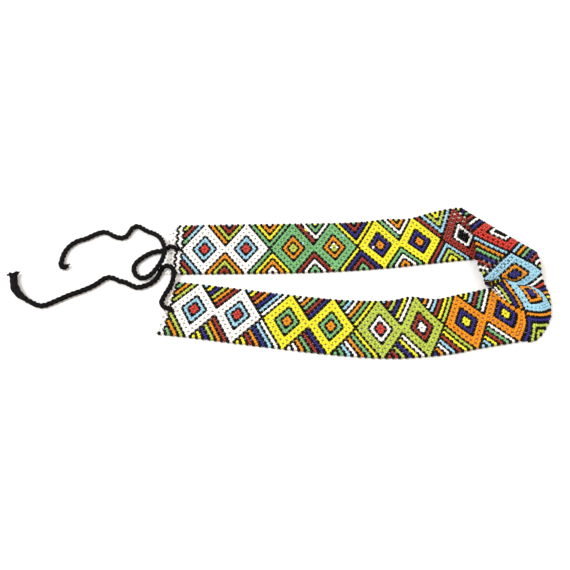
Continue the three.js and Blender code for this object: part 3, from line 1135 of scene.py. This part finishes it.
def cut_end(root, heading, length, diameter):
    """A short cut end of yarn that sticks out, with its frayed tip."""
    tip = root + heading * length
    middle = root.lerp(tip, 0.5) + any_way(0.3 * MM)
    route, _ = smooth_route([root, middle, tip], length / 6)
    return joined(twisted_cord(route, diameter, LAY_LENGTH), tuft(tip, heading, 1.1 * MM, 9))


TURN_SIDES = 14


def wrapped(frames, shares, radius, thickness):
    """Turns of yarn round a cord, at shares of its length."""
    ring = ring_shape(radius, thickness, TURN_SIDES)
    places = []
    for share in shares:
        middle, ahead, side, _ = frames[round(share * (len(frames) - 1))]
        lean = (ahead + side * chance.uniform(-0.3, 0.3)).normalized()
        places.append((middle, lean, side, chance.random()))
    return copies(ring, places)


# Frayed fibres: thickness, how far apart they start and lean, and their shares of the length
FRAYED_THICKNESS = 0.6 * MM
FRAYED_WIDTH = 0.7 * MM
FRAYED_LEAN = 0.5
FRAYED_LENGTHS = (0.6, 1.1)


def tuft(root, heading, length, strands):
    """Frayed fibres that spread out, from a point and in a direction."""
    spread = []
    for _ in range(strands):
        away = (heading + any_way(FRAYED_LEAN)).normalized()
        start = root + any_way(FRAYED_WIDTH)
        reach = length * chance.uniform(*FRAYED_LENGTHS)
        spread.append(hair(start, away, reach, FRAYED_THICKNESS))
    return joined(*spread)


def end_middle(column):
    """Middle of a short end of the band, in millimetres of the table."""
    point = band_point(column, 0) / MM
    return point.x + BAND_MIDDLE[0], point.y + BAND_MIDDLE[1]


def lay_tie(end, route):
    """A tie's route from the middle of the band's end."""
    lying = CORD_DIAMETER / 2 + TABLE_GAP
    return [table_point((end[0] + right, end[1] + back, lying + up)) for right, back, up in route]


# How much of its tie a knot or bound end covers
KNOT_OVERLAP = 2.5 * MM


def lay_knot(end, tie, route, diameter):
    """The route of a knot or bound end, which covers the last of its tie."""
    lying = diameter / 2 + TABLE_GAP
    onward = tie[-1] - tie[-2]
    onward.z = 0
    onward.normalize()
    start = tie[-1] - onward * KNOT_OVERLAP
    start.z = lying * MM
    points = [table_point((end[0] + right, end[1] + back, lying)) for right, back in route]
    return [start, start + onward * (KNOT_OVERLAP + diameter / 4 * MM), *points]


CORD_SPACING = 1.3 * MM

# Length of one turn of the plies, and shares of it in the knot's stub and the bound end
LAY_LENGTH = 12 * MM
KNOT_LAY = 0.6
BOUND_LAY = 2.5

# Where a tie is sewn on: its thickness as a share of the cord's, its points, and its stitches
SEWN_SHARE = 0.6
SEWN_POINTS = 9
STITCH_SHARES = (0.25, 0.5, 0.8)
STITCH_THREAD = 0.7 * MM

# Turns of yarn: radius and thickness as shares of the diameter of what they go round
TURN_RADIUS = 0.4
KNOT_TURN = 0.34
BOUND_TURN_RADIUS = 0.36
BOUND_TURN = 0.2

# The bound end's plies, its thickness at its start and end as shares of its diameter, and the
# cut ends that stick out of it: their thickness, and the heading and length of each
BOUND_PLIES = 4
BOUND_SHARES = (0.62, 0.75)
CUT_END = 4 * MM
CUT_ENDS = [((-0.98, -0.1, 0), 4 * MM), ((0.85, 0.45, 0), 4.5 * MM)]

YARN_SHADE = 0.8
YARN_FLUFF = (0.022, 0.02, 0.02, 1)
YARN_RELIEF = 0.25 * MM
yarn_colour = (*(value * YARN_SHADE for value in record_colour("cord_yarn")[:3]), 1)
yarn = fibre_material("black_twisted_yarn", yarn_colour, YARN_FLUFF, YARN_RELIEF)
far_end, near_end = end_middle(FIRST_COLUMN), end_middle(LAST_COLUMN)


def tie_cord(name, line):
    """A tie's cord, flattened thinner where it is sewn on."""
    cord = twisted_cord(line, CORD_DIAMETER * MM, LAY_LENGTH, first_share=SEWN_SHARE)
    return add_mesh(name, cord, yarn)


def stitches(name, line):
    """Stitches that sew the first stretch of a tie to the band."""
    frames = turned_frames(line)[:SEWN_POINTS]
    loops = wrapped(frames, STITCH_SHARES, CORD_DIAMETER * TURN_RADIUS * MM, STITCH_THREAD)
    return add_mesh(name, loops, yarn)


far_route = lay_tie(far_end, FAR_TIE)
far_line, far_length = smooth_route(far_route, CORD_SPACING)
far_tie = tie_cord("far_tie_cord", far_line)
far_stitches = stitches("far_tie_stitches", far_line)

knot_route = lay_knot(far_end, far_route, FAR_KNOT, FAR_KNOT_DIAMETER)
knot_line, _ = smooth_route(knot_route, CORD_SPACING)
knot_frames = turned_frames(knot_line)
knot_turn = (CORD_DIAMETER * TURN_RADIUS * MM, CORD_DIAMETER * KNOT_TURN * MM)
far_knot = add_mesh(
    "far_tie_end_knot",
    joined(
        twisted_cord(knot_line, CORD_DIAMETER * MM, LAY_LENGTH * KNOT_LAY),
        wrapped(knot_frames, (0.3,), *knot_turn),
        tuft(knot_line[-1], knot_frames[-1][1], 1.4 * MM, 12),
    ),
    yarn,
)

near_route = lay_tie(near_end, NEAR_TIE)
near_line, near_length = smooth_route(near_route, CORD_SPACING)
near_tie = tie_cord("near_tie_cord", near_line)
near_stitches = stitches("near_tie_stitches", near_line)

bound_size = BOUND_END_DIAMETER * MM
bound_route = lay_knot(near_end, near_route, BOUND_END, BOUND_END_DIAMETER)
bound_line, _ = smooth_route(bound_route, CORD_SPACING)
bound_frames = turned_frames(bound_line)
bound_turns = (bound_size * BOUND_TURN_RADIUS, bound_size * BOUND_TURN)
bound_end = add_mesh(
    "near_tie_wrapped_end",
    joined(
        twisted_cord(bound_line, bound_size, LAY_LENGTH * BOUND_LAY, BOUND_PLIES, *BOUND_SHARES),
        wrapped(bound_frames, (0.8, 0.9), *bound_turns),
        *(cut_end(bound_line[-1], Vector(way), length, CUT_END) for way, length in CUT_ENDS),
    ),
    yarn,
)

for piece, node in (
    (far_tie, "far_tie"),
    (far_knot, "far_tie_knot"),
    (near_tie, "near_tie"),
    (bound_end, "near_tie_bound_end"),
):
    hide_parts(node)
